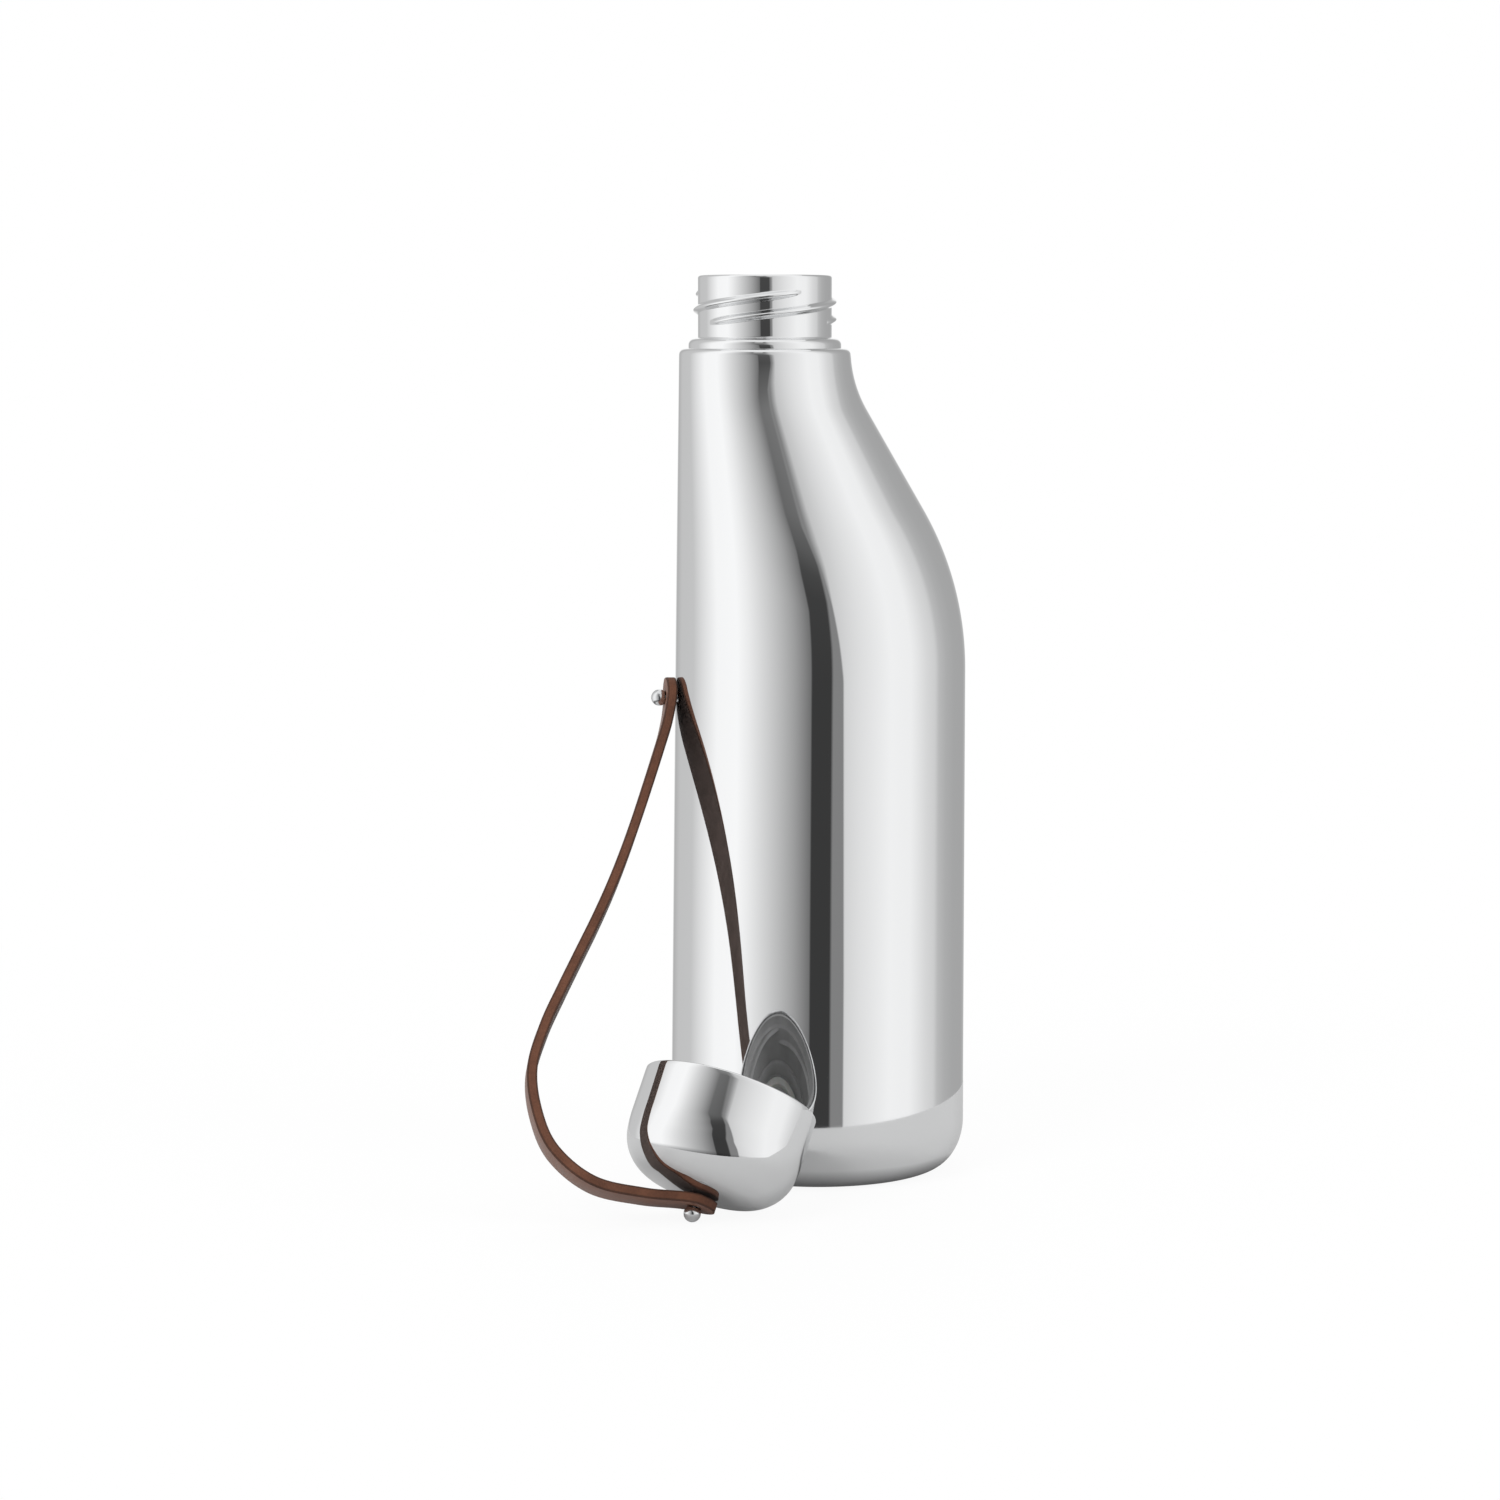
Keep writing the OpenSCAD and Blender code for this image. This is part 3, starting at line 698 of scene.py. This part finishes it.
def makeNeck():
    n = neckSetup
    base = bottleSetup["height"]
    top = neckHigh.z
    place = Matrix.Translation((bottleSetup["neckX"], 0, 0))
    weldFoot = linerSetup["top"] - n["weldDrop"]
    ribFoot = base + n["collarHeight"]
    ribTop = top - n["lip"]
    filletWidth, filletHeight = n["fillet"]
    boreEnd, boreSteps = n["borePlain"]
    collarSteps, lipSteps, mouthSteps = n["edgeSteps"]
    profile = [(n["mouthRadius"], base - n["tail"]), (n["radius"], base - n["tail"]),
               (n["radius"], weldFoot), (n["weldRadius"], weldFoot + n["weldSlope"]),
               (n["weldRadius"], linerSetup["top"]), (n["radius"], linerSetup["top"]),
               (n["radius"], base), (n["collarRadius"], base)]
    profile += arcPoints(n["collarRadius"] - n["collarEdge"], ribFoot - n["collarEdge"],
                         n["collarEdge"], 0, 90, collarSteps)
    profile += [(n["radius"] + filletWidth, ribFoot), (n["radius"], ribFoot + filletHeight)]
    profile += [(n["radius"], z, True) for z in levels(ribFoot + n["ribClear"], ribTop, n["ribRows"])]
    profile += arcPoints(n["radius"] - n["lip"], ribTop, n["lip"], 0, 90, lipSteps)
    profile += arcPoints(n["mouthRadius"] + n["mouthEdge"], top - n["mouthEdge"], n["mouthEdge"],
                         90, 180, mouthSteps)
    profile += [(n["mouthRadius"], z)
                for z in levels(top - boreEnd, base - n["tail"] + boreEnd, boreSteps)]

    def lift(angle, height):
        return ribHeight(threadSetup, angle, height - base)

    neck = loft("threadedNeck", latheRings(profile, n["sides"], place, lift), [polished], sharp=75)
    settle(neck, "bottle", "polished_steel", "neck")


# Lid: a spun dome, drawn as it sits on a bottle and then laid down on its side

lidSetup = {
    "radius": 0.02135,
    "sideHeight": 0.0111,
    "easeRadius": 0.030,       # easy curve between the straight wall and the shoulder
    "easeTurn": 9,
    "shoulderRadius": 0.011,
    "crownRadius": 0.060,
    "wall": 0.0008,
    "stemHole": 0.0013,
    "outsideSteps": (12, 40),  # rings of the straight wall and of the shoulder
    "insideSteps": (6, 24),
    "rimSteps": 8,
    "sides": 288,
}


def shoulderMiddle():
    # the middle of the shoulder's arc: (radius, height)
    d = lidSetup
    reach = d["easeRadius"] - d["shoulderRadius"]
    turn = math.radians(d["easeTurn"])
    return (d["radius"] - d["easeRadius"] + reach * math.cos(turn),
            d["sideHeight"] + reach * math.sin(turn))


def lidHeight():
    d = lidSetup
    across, height = shoulderMiddle()
    span = d["crownRadius"] - d["shoulderRadius"]
    return height - math.sqrt(span ** 2 - across ** 2) + d["crownRadius"]


lidPlace = (strapPlane @ Matrix.Translation((lidSeat.x, 0, strapDrop))
            @ Matrix.Rotation(-lidLean, 4, "Y") @ Matrix.Rotation(strapSetup["twist"], 4, "X")
            @ Matrix.Translation((0, 0, -lidHeight() - strapSetup["lift"])))


def domeProfile(inset, steps):
    # from the straight wall's top over the shoulder and the crown to the stem's hole
    d = lidSetup
    across, height = shoulderMiddle()
    crownAngle = math.degrees(math.asin(across / (d["crownRadius"] - d["shoulderRadius"])))
    crownMiddle = lidHeight() - d["crownRadius"]
    holeAngle = math.degrees(math.acos(d["stemHole"] / (d["crownRadius"] - inset)))
    easeSteps = steps // 3
    profile = arcPoints(d["radius"] - d["easeRadius"], d["sideHeight"], d["easeRadius"] - inset,
                        0, d["easeTurn"], easeSteps)
    profile += arcPoints(across, height, d["shoulderRadius"] - inset, d["easeTurn"], 90 - crownAngle,
                         steps)[1:]
    profile += arcPoints(0, crownMiddle, d["crownRadius"] - inset, 90 - crownAngle, holeAngle, steps)[1:]
    return profile


def makeLidShell():
    d = lidSetup
    lip = d["wall"] / 2
    wallSteps, domeSteps = d["outsideSteps"]
    outside = [(d["radius"], z) for z in levels(lip, d["sideHeight"], wallSteps)[:-1]]
    outside += domeProfile(0, domeSteps)
    wallSteps, domeSteps = d["insideSteps"]
    inside = [(d["radius"] - d["wall"], z) for z in levels(lip, d["sideHeight"], wallSteps)[:-1]]
    inside += domeProfile(d["wall"], domeSteps)
    rim = arcPoints(d["radius"] - lip, lip, lip, 180, 360, d["rimSteps"])[1:-1]
    profile = outside + inside[::-1] + rim
    lid = loft("lidDome", latheRings(profile, d["sides"], lidPlace), [polished])
    settle(lid, "lid", "lid_steel", "lid_shell")


insertSetup = {
    "setback": 0.0005,
    "fit": 0.0003,
    "mouthRadius": 0.0193,
    "mouthHeight": 0.0035,
    "boreRadius": 0.0181,
    "stepHeight": 0.014,
    "pocketRadius": 0.01695,
    "sealSeatRadius": 0.01635,
    "sealHeight": 0.0181,
    "ceiling": 0.0193,
    "roof": 0.0205,
    "edge": 0.0004,             # bevels
    "mouthEdge": 0.0003,
    "roofEdge": 0.0002,
    "roofHole": 0.0004,
    "ribs": {"starts": 3, "lead": 0.013, "depth": 0.001, "width": 0.0018, "turn": 120,
             "startHeight": 0.0063 - 0.013 / 6, "startTurn": 6, "fade": 0.16},
    "ribRows": 56,
    "domeSteps": 40,
    "sides": 288,
}


def makeInsert():
    s = insertSetup
    inset = lidSetup["wall"] + s["fit"]
    dome = [(r, z) for r, z in domeProfile(inset, s["domeSteps"]) if z < s["roof"]]
    wallRadius = lidSetup["radius"] - inset
    edge = s["edge"]
    profile = [(s["mouthRadius"], s["setback"]), (wallRadius - s["mouthEdge"], s["setback"]),
               (wallRadius, s["setback"] + s["mouthEdge"])] + dome
    profile += [(dome[-1][0] - s["roofEdge"], s["roof"]), (s["roofHole"], s["roof"]),
                (s["roofHole"], s["ceiling"]), (s["sealSeatRadius"], s["ceiling"]),
                (s["sealSeatRadius"], s["sealHeight"]), (s["pocketRadius"], s["sealHeight"]),
                (s["pocketRadius"], s["stepHeight"] + edge), (s["pocketRadius"] + edge, s["stepHeight"])]
    profile += [(s["boreRadius"], z, True)
                for z in levels(s["stepHeight"], s["mouthHeight"], s["ribRows"])]
    profile += [(s["mouthRadius"] - edge, s["mouthHeight"]), (s["mouthRadius"], s["mouthHeight"] - edge)]

    def lift(angle, height):
        return -ribHeight(s["ribs"], angle, height)

    insert = loft("lidInsert", latheRings(profile, s["sides"], lidPlace, lift), [plastic], sharp=75)
    settle(insert, "lid", "insert_plastic", "lid_insert")


# Studs: turned pins with a ball head that the leather buttons over

studSetup = {
    "stemRadius": 0.00125,
    "ballRadius": 0.00205,
    "ballRise": 0.0044,      # from the steel to the ball's middle
    "flat": 0.00045,         # radius of the turning flat on top of the ball
    "lidDepth": 0.00335,     # from the dome's outside to the stem's inner end
    "bevel": 0.0002,
    "waist": (0.00005, 0.0001),    # slight groove under the ball: depth, width
    "steps": (6, 36),        # rings of the stem and of the ball
    "sides": 96,
}


def studProfile(depth):
    s = studSetup
    joint = math.degrees(math.asin(s["stemRadius"] / s["ballRadius"]))
    tip = math.degrees(math.asin(s["flat"] / s["ballRadius"]))
    neckHeight = s["ballRise"] - s["ballRadius"] * math.cos(math.radians(joint))
    bevel = s["bevel"]
    waistDepth, waistWidth = s["waist"]
    stemSteps, ballSteps = s["steps"]
    profile = [(bevel, -depth), (s["stemRadius"] - bevel, -depth), (s["stemRadius"], bevel - depth)]
    profile += [(s["stemRadius"], z) for z in levels(0, neckHeight - bevel, stemSteps)]
    profile += [(s["stemRadius"] - waistDepth, neckHeight - waistWidth)]
    profile += arcPoints(0, s["ballRise"], s["ballRadius"], joint - 90, 90 - tip, ballSteps)
    profile += [(bevel, s["ballRise"] + s["ballRadius"] * math.cos(math.radians(tip)))]
    return profile


def makeStud(name, place, depth, body, node):
    stud = loft(name, latheRings(studProfile(depth), studSetup["sides"], place), [turned], joined=False,
                sharp=40)
    settle(stud, body, "stud_steel", node)


def makeStuds():
    wallX = leftSide(studHeight)
    bodyPlace = Matrix.Translation((wallX, 0, studHeight)) @ Matrix.Rotation(-math.pi / 2, 4, "Y")
    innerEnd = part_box("body_stud")[1].x
    makeStud("bodyStud", bodyPlace, innerEnd - wallX, "bottle", "body_stud")
    lidTop = lidPlace @ Matrix.Translation((0, 0, lidHeight()))
    makeStud("lidStud", lidTop, studSetup["lidDepth"], "lid", "lid_stud")


# Small inner parts keep their CAD shape and get their finish

def finishNode(name, material, sharp=30):
    node = frame["nodes"][name]
    node.data.materials.clear()
    node.data.materials.append(material)
    node.data.polygons.foreach_set("use_smooth", [True] * len(node.data.polygons))
    node.data.set_sharp_from_angle(angle=math.radians(sharp))


makeShell()
makeLiner()
print("stage: body")
makeNeck()
print("stage: neck and thread")
makeLidShell()
makeInsert()
print("stage: lid")
makeStuds()
for nodeName, finish in (("base_disc", pressed), ("vacuum_plug", pressed), ("stud_boss", pressed),
                         ("lid_washer", pressed), ("lid_nut", pressed), ("getter", getterMetal),
                         ("lid_gasket", silicone)):
    finishNode(nodeName, finish)
print("stage: studs and small parts")


# Studio: a white table, two large soft boxes at the sides, and the dark gap between them in front

studioSetup = {
    "wallSides": 96,
    "wallRadius": 0.38,
    "wallBottom": -1.0,
    "wallTop": 0.8,
    # tones that polished steel shows, by degrees round from the camera, where right is positive
    "tones": [(-180, 0.92), (-170, 0.92), (-158, 0.65), (-140, 0.74), (-116, 0.76), (-104, 0.85),
              (-86, 0.96), (-66, 0.97), (-56, 0.92), (-45, 0.84), (-30, 0.72), (-20, 0.62),
              (-8, 0.44), (0, 0.72), (20, 0.83), (30, 0.87), (54, 0.94), (72, 0.93), (88, 0.84),
              (98, 0.80), (103, 0.72), (113, 0.67), (126, 0.64), (150, 0.62), (162, 0.68),
              (168, 0.90), (180, 0.92)],
    "heights": (-0.1, 0.6),        # the heights between which the gap changes
    # edges of the gap between the boxes: (height, degrees)
    "gapLeft": [(0.18, -7), (0.20, -8.5), (0.22, -10), (0.25, -11), (0.30, -15), (0.50, -20)],
    "gapRight": [(0.00, 18), (0.10, 16.5), (0.15, 14), (0.20, 11), (0.25, 8), (0.29, 4.5),
                 (0.34, 2.5), (0.50, 0)],
    "gapSoftness": [(0.20, 0.6), (0.28, 3.5)],    # of the right edge: (height, degrees)
    "leftSoftness": (-0.003, 0.001),              # from, to, in turns from the left edge
    # tones of the gap: (height, tone)
    "gapTones": [(0.10, 0.22), (0.20, 0.24), (0.23, 0.27), (0.26, 0.34), (0.29, 0.38), (0.33, 0.43),
                 (0.45, 0.52), (0.58, 0.68)],
    # the gap is lighter to the right of this edge
    "sideEdge": [(0.14, 8), (0.20, 7), (0.25, 4), (0.30, -3), (0.40, -6)],
    "sideTone": 0.50,
    "sideSoftness": (-0.002, 0.003),
    "leftReach": (-70, -8),        # the left box's tones lean with the gap between these
    "wallFoot": (-0.14, -0.07, 0.25),          # the wall is darker below: from, to height, share
    "tableSize": 6,                # half its side
    "tableDrop": 0.0001,
    "tableRadius": 0.125,          # the part of the table that the steel reflects
    "tableTone": 0.80,
    "tableInSteel": 0.70,          # share of the table's light that the steel shows
    "tableGlow": 0.08,             # the least that it shows of the table, under the foot too
    "footShade": (0.031, 0.038, 0.30),         # darker under the foot: from, to distance, share
    "tableLift": 0.93,             # share of the table's white that needs no light
    "tableWhite": (0.15, 0.45),    # the table turns fully white between these distances
    "ambient": 0.80,
}


def linear(tone):
    # display tone to linear light
    return tone / 12.92 if tone <= 0.04045 else ((tone + 0.055) / 1.055) ** 2.4


def steelLight(tone):
    # the light that polished steel turns into this tone
    return linear(tone) / mirrorSetup["tone"][1]


def grey(value):
    return (value, value, value, 1)


def turnShare(degrees):
    return (degrees + 180) / 360


def mixColour(tree, share, first, second):
    node = addNode(tree, "ShaderNodeMix", data_type="RGBA")
    tree.links.new(share, node.inputs["Factor"])
    for name, value in (("A", first), ("B", second)):
        if isinstance(value, tuple):
            node.inputs[name].default_value = value
        else:
            tree.links.new(value, node.inputs[name])
    return node.outputs["Result"]


def makeWall():
    s = studioSetup
    sides = s["wallSides"]
    rings = [circleRing(0, z, s["wallRadius"], sides) for z in (s["wallBottom"], s["wallTop"])]
    points = [point for ring in rings for point in ring]
    mesh = bpy.data.meshes.new("softBoxes")
    mesh.from_pydata(points, [], ringFaces(2, sides, False))
    mesh.polygons.foreach_set("use_smooth", [True] * len(mesh.polygons))
    wall = bpy.data.objects.new("softBoxes", mesh)
    bpy.context.scene.collection.objects.link(wall)

    material, tree, output = newMaterial("softBoxLight")
    coords = tree.nodes.new("ShaderNodeTexCoord")
    axes = tree.nodes.new("ShaderNodeSeparateXYZ")
    tree.links.new(coords.outputs["Object"], axes.inputs["Vector"])
    height = axes.outputs["Z"]
    ahead = mathNode(tree, "MULTIPLY", axes.outputs["Y"], -1)
    turn = mathNode(tree, "ARCTAN2", axes.outputs["X"], ahead)
    share = mathNode(tree, "MULTIPLY_ADD", turn, 0.5 / math.pi, 0.5)

    low, high = s["heights"]
    climb = mapped(tree, height, low, high, 0, 1)

    def byHeight(name, change):
        # a value that changes with height, through the stops of that name
        return rampNode(tree, climb, [((z - low) / (high - low), change(value)) for z, value in s[name]])

    gapLeft = byHeight("gapLeft", turnShare)
    fromLeft = mathNode(tree, "SUBTRACT", share, gapLeft)
    reachStart, reachEnd = [turnShare(a) for a in s["leftReach"]]
    gapShift = mathNode(tree, "SUBTRACT", turnShare(s["gapLeft"][0][1]), gapLeft)
    lean = mathNode(tree, "MULTIPLY", mapped(tree, share, reachStart, reachEnd, 0, 1), gapShift)
    onLeft = mathNode(tree, "LESS_THAN", fromLeft, 0)
    leant = mathNode(tree, "ADD", share, mathNode(tree, "MULTIPLY", lean, onLeft))
    around = rampNode(tree, leant, [(turnShare(a), steelLight(t)) for a, t in s["tones"]])
    fromRight = mathNode(tree, "SUBTRACT", share, byHeight("gapRight", turnShare))
    softness = byHeight("gapSoftness", lambda degrees: degrees / 360)
    rightShare = mathNode(tree, "DIVIDE", fromRight, softness)
    inGap = mathNode(tree, "MULTIPLY", mapped(tree, fromLeft, *s["leftSoftness"], 0, 1),
                     mapped(tree, rightShare, -1, 1, 1, 0))
    fromSide = mathNode(tree, "SUBTRACT", share, byHeight("sideEdge", turnShare))
    inSide = mapped(tree, fromSide, *s["sideSoftness"], 0, 1)
    gap = mixColour(tree, inSide, byHeight("gapTones", steelLight), grey(steelLight(s["sideTone"])))
    colour = mixColour(tree, inGap, around, gap)
    footLow, footHigh, footShare = s["wallFoot"]
    strength = mapped(tree, height, footLow, footHigh, footShare, 1)
    light = tree.nodes.new("ShaderNodeEmission")
    tree.links.new(colour, light.inputs["Color"])
    tree.links.new(strength, light.inputs["Strength"])
    tree.links.new(light.outputs["Emission"], output.inputs["Surface"])
    mesh.materials.append(material)
    wall.rotation_euler.z = math.radians(cameraSetup["turn"])
    # the boxes show only in reflections; lamps and world light the rest
    wall.visible_camera = False
    wall.visible_diffuse = False
    wall.visible_shadow = False
    wall.visible_transmission = False
    wall.visible_volume_scatter = False


def makeTable():
    s = studioSetup
    size = s["tableSize"]
    mesh = bpy.data.meshes.new("table")
    corners = [(-size, -size, 0), (size, -size, 0), (size, size, 0), (-size, size, 0)]
    mesh.from_pydata(corners, [], [(0, 1, 2, 3)])
    table = bpy.data.objects.new("table", mesh)
    table.location.z = -s["tableDrop"]
    bpy.context.scene.collection.objects.link(table)

    material, tree, output = newMaterial("whiteTable")
    coords = tree.nodes.new("ShaderNodeTexCoord")
    reach = addNode(tree, "ShaderNodeVectorMath", operation="LENGTH")
    tree.links.new(coords.outputs["Object"], reach.inputs[0])
    reach = reach.outputs["Value"]
    near, far = s["tableWhite"]
    paths = tree.nodes.new("ShaderNodeLightPath")
    glossy = paths.outputs["Is Glossy Ray"]
    seen = mathNode(tree, "MAXIMUM", paths.outputs["Is Camera Ray"], paths.outputs["Is Transmission Ray"])
    lift = mathNode(tree, "MULTIPLY", seen, mapped(tree, reach, near, far, s["tableLift"], 1))
    lift = mathNode(tree, "MAXIMUM", lift, mathNode(tree, "MULTIPLY", glossy, s["tableGlow"]))
    start, end, share = s["footShade"]
    shade = mathNode(tree, "MULTIPLY", mapped(tree, reach, start, end, share, 1), s["tableInSteel"])
    inSteel = mathNode(tree, "MULTIPLY", glossy, mathNode(tree, "SUBTRACT", 1, shade))
    tone = mathNode(tree, "MULTIPLY", mathNode(tree, "SUBTRACT", 1, inSteel), s["tableTone"])
    matt = tree.nodes.new("ShaderNodeBsdfDiffuse")
    tree.links.new(tone, matt.inputs["Color"])
    glow = tree.nodes.new("ShaderNodeEmission")
    glow.inputs["Color"].default_value = grey(1)
    surface = tree.nodes.new("ShaderNodeMixShader")
    tree.links.new(lift, surface.inputs["Fac"])
    tree.links.new(matt.outputs["BSDF"], surface.inputs[1])
    tree.links.new(glow.outputs["Emission"], surface.inputs[2])

    # steel sees only the middle of the table, and nobody sees it from below
    outside = mathNode(tree, "GREATER_THAN", reach, s["tableRadius"])
    hidden = mathNode(tree, "MULTIPLY", outside, glossy)
    below = tree.nodes.new("ShaderNodeNewGeometry").outputs["Backfacing"]
    hidden = mathNode(tree, "MAXIMUM", hidden, below)
    clear = tree.nodes.new("ShaderNodeBsdfTransparent")
    choice = tree.nodes.new("ShaderNodeMixShader")
    tree.links.new(hidden, choice.inputs["Fac"])
    tree.links.new(surface.outputs["Shader"], choice.inputs[1])
    tree.links.new(clear.outputs["BSDF"], choice.inputs[2])
    tree.links.new(choice.outputs["Shader"], output.inputs["Surface"])
    mesh.materials.append(material)


def makeWorld():
    world = bpy.data.worlds.new("studio")
    bpy.context.scene.world = world
    world.use_nodes = True
    tree = world.node_tree
    tree.nodes.clear()
    output = tree.nodes.new("ShaderNodeOutputWorld")
    paths = tree.nodes.new("ShaderNodeLightPath")
    seen = mathNode(tree, "MAXIMUM", paths.outputs["Is Camera Ray"], paths.outputs["Is Glossy Ray"])
    seen = mathNode(tree, "MAXIMUM", seen, paths.outputs["Is Transmission Ray"])
    ambient = addNode(tree, "ShaderNodeBackground", Strength=studioSetup["ambient"])
    white = addNode(tree, "ShaderNodeBackground", Strength=1.0)
    for background in (ambient, white):
        background.inputs["Color"].default_value = grey(1)
    choice = tree.nodes.new("ShaderNodeMixShader")
    tree.links.new(seen, choice.inputs["Fac"])
    tree.links.new(ambient.outputs["Background"], choice.inputs[1])
    tree.links.new(white.outputs["Background"], choice.inputs[2])
    tree.links.new(choice.outputs["Shader"], output.inputs["Surface"])


lampSetup = [
    # name, place, size, power
    ("keyLamp", (-0.9, -1.3, 1.3), 0.9, 14),
    ("fillLamp", (1.2, -0.6, 1.0), 0.9, 6),
    ("backLamp", (0.1, 1.4, 1.4), 1.0, 7),
]


def makeLamps():
    for name, place, size, power in lampSetup:
        data = bpy.data.lights.new(name, "AREA")
        data.shape = "DISK"
        data.size = size
        data.energy = power
        lamp = bpy.data.objects.new(name, data)
        lamp.location = Matrix.Rotation(math.radians(cameraSetup["turn"]), 3, "Z") @ Vector(place)
        lamp.rotation_euler = (Vector((0, 0, 0.1)) - lamp.location).to_track_quat("-Z", "Y").to_euler()
        lamp.visible_glossy = False
        lamp.visible_camera = False
        bpy.context.scene.collection.objects.link(lamp)


makeWall()
makeTable()
makeWorld()
makeLamps()
bpy.context.scene.view_settings.view_transform = "Standard"
print("stage: studio")
